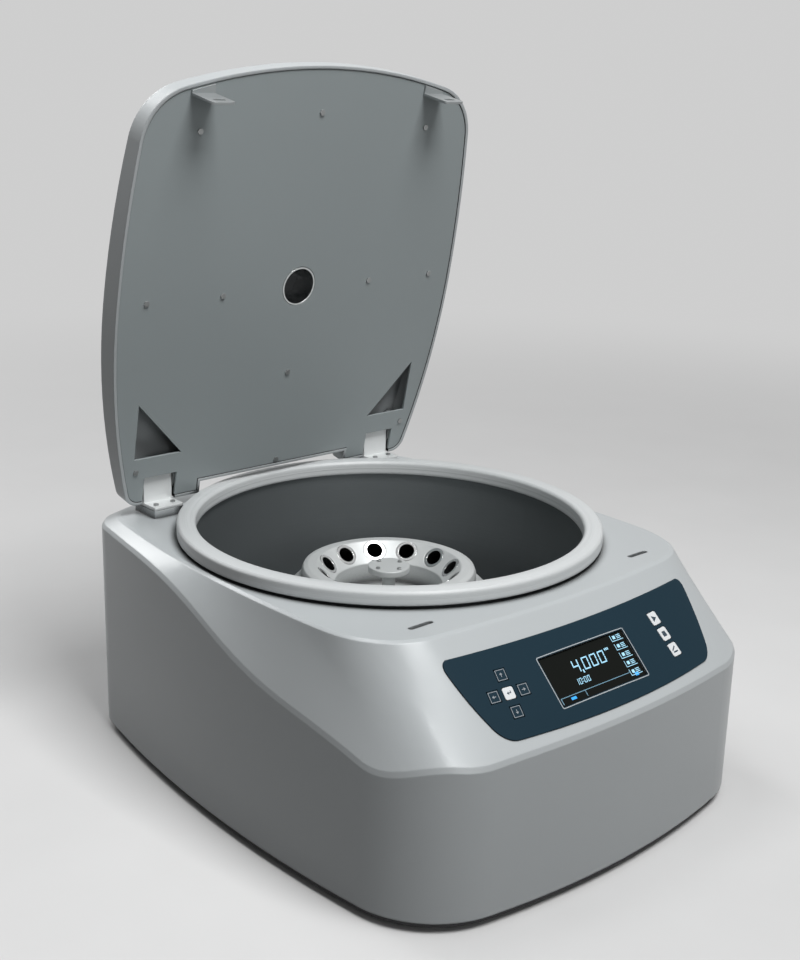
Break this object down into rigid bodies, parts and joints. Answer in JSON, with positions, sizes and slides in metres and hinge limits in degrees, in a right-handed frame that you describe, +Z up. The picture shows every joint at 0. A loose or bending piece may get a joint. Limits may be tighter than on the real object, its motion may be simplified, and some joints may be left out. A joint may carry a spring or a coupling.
{
  "type": "clinical centrifuge",
  "caption": "Bench centrifuge with a hinged lid standing open, a fixed-angle tube rotor in a steel bowl and a sloping panel with a display and keys.",
  "frame": {"origin": "on the table, under the middle of the cabinet", "axes": "+X to the right seen from the front, -Y towards the front, +Z up"},
  "size_m": [0.3804, 0.4476, 0.5468],
  "materials": {
    "cabinet_paint": "satin silver grey",
    "lid_paint": "satin silver grey",
    "lid_panel": "matte grey",
    "black_plastic": "matte",
    "key_plastic": "satin dark",
    "white_plastic": "satin white",
    "black_rubber": "matte",
    "seal": "smooth pale grey",
    "bowl_steel": "satin",
    "rotor_alloy": "clear anodised",
    "bright_steel": "bright",
    "steel": "plain",
    "screw_steel": "dull",
    "overlay": "tinted",
    "window": "clear over a dark screen",
    "lens": "clear",
    "brass": "bright",
    "board": "matte"
  },
  "bodies": {
    "cabinet": {"casing": "cabinet_paint", "base_pan": "black_plastic", "feet": "black_rubber", "base_screws": "screw_steel", "chamber_bowl": "bowl_steel", "chamber_seal": "seal", "motor_housing": "rotor_alloy", "motor_plate": "steel", "motor_mounts": "black_rubber", "shaft_gaiter": "black_rubber", "control_overlay": "overlay", "key_boards": "black_plastic", "key_switches": "board", "board_spacers": "board", "display_window": "window", "display_module": "black_plastic", "hinge_posts": "bright_steel", "hinge_pins": "steel", "hinge_screws": "screw_steel", "latch_guides": "black_plastic", "latch_solenoid": "steel", "power_inlet": "black_plastic", "inlet_blades": "brass", "switch_frame": "black_plastic", "board_standoffs": "board", "drive_board": "board", "board_capacitors": "board", "board_transformer": "board", "heat_sink": "rotor_alloy"},
    "lid": {"lid_shell": "lid_paint", "lid_panel": "lid_panel", "lid_screws": "screw_steel", "port_sleeve": "bright_steel", "port_lens": "lens", "lid_hooks": "bright_steel", "lid_hinges": "bright_steel"},
    "rotor": {"motor_shaft": "steel", "rotor_head": "rotor_alloy", "tube_sleeves": "bright_steel", "rotor_clamp": "bright_steel", "clamp_screws": "screw_steel"},
    "latch": {"latch_bar": "steel", "latch_plunger": "steel"},
    "rocker": {"power_rocker": "key_plastic"},
    "key_up_body": {"key_up": "key_plastic"},
    "key_left_body": {"key_left": "key_plastic"},
    "key_enter_body": {"key_enter": "white_plastic"},
    "key_right_body": {"key_right": "key_plastic"},
    "key_down_body": {"key_down": "key_plastic"},
    "key_start_body": {"key_start": "white_plastic"},
    "key_stop_body": {"key_stop": "white_plastic"},
    "key_open_body": {"key_open": "white_plastic"}
  },
  "joints": [
    {"name": "lid_hinge", "type": "hinge", "parent": "cabinet", "child": "lid", "pos_m": [0, 0.1946, 0.2098], "axis": [1, 0, 0], "range_deg": [0, 78.46]},
    {"name": "rotor_spin", "type": "hinge", "parent": "cabinet", "child": "rotor", "pos_m": [0, 0.0334, 0.1], "axis": [0, 0, 1], "continuous": true},
    {"name": "latch_slide", "type": "slide", "parent": "cabinet", "child": "latch", "axis": [0, 1, 0], "range_m": [0, 0.008]},
    {"name": "rocker_tilt", "type": "hinge", "parent": "cabinet", "child": "rocker", "pos_m": [-0.072, 0.2179, 0.045], "axis": [1, 0, 0], "range_deg": [0, 16]},
    {"name": "key_up_press", "type": "slide", "parent": "cabinet", "child": "key_up_body", "axis": [0.1028, 0.7014, -0.7054], "range_m": [0, 0.0005], "stiffness_N_per_m": 500},
    {"name": "key_left_press", "type": "slide", "parent": "cabinet", "child": "key_left_body", "axis": [0.1028, 0.7014, -0.7054], "range_m": [0, 0.0005], "stiffness_N_per_m": 500},
    {"name": "key_enter_press", "type": "slide", "parent": "cabinet", "child": "key_enter_body", "axis": [0.1028, 0.7014, -0.7054], "range_m": [0, 0.0005], "stiffness_N_per_m": 500},
    {"name": "key_right_press", "type": "slide", "parent": "cabinet", "child": "key_right_body", "axis": [0.1028, 0.7014, -0.7054], "range_m": [0, 0.0005], "stiffness_N_per_m": 500},
    {"name": "key_down_press", "type": "slide", "parent": "cabinet", "child": "key_down_body", "axis": [0.1028, 0.7014, -0.7054], "range_m": [0, 0.0005], "stiffness_N_per_m": 500},
    {"name": "key_start_press", "type": "slide", "parent": "cabinet", "child": "key_start_body", "axis": [-0.0833, 0.697, -0.7122], "range_m": [0, 0.0005], "stiffness_N_per_m": 500},
    {"name": "key_stop_press", "type": "slide", "parent": "cabinet", "child": "key_stop_body", "axis": [-0.0833, 0.697, -0.7122], "range_m": [0, 0.0005], "stiffness_N_per_m": 500},
    {"name": "key_open_press", "type": "slide", "parent": "cabinet", "child": "key_open_body", "axis": [-0.0833, 0.697, -0.7122], "range_m": [0, 0.0005], "stiffness_N_per_m": 500}
  ]
}
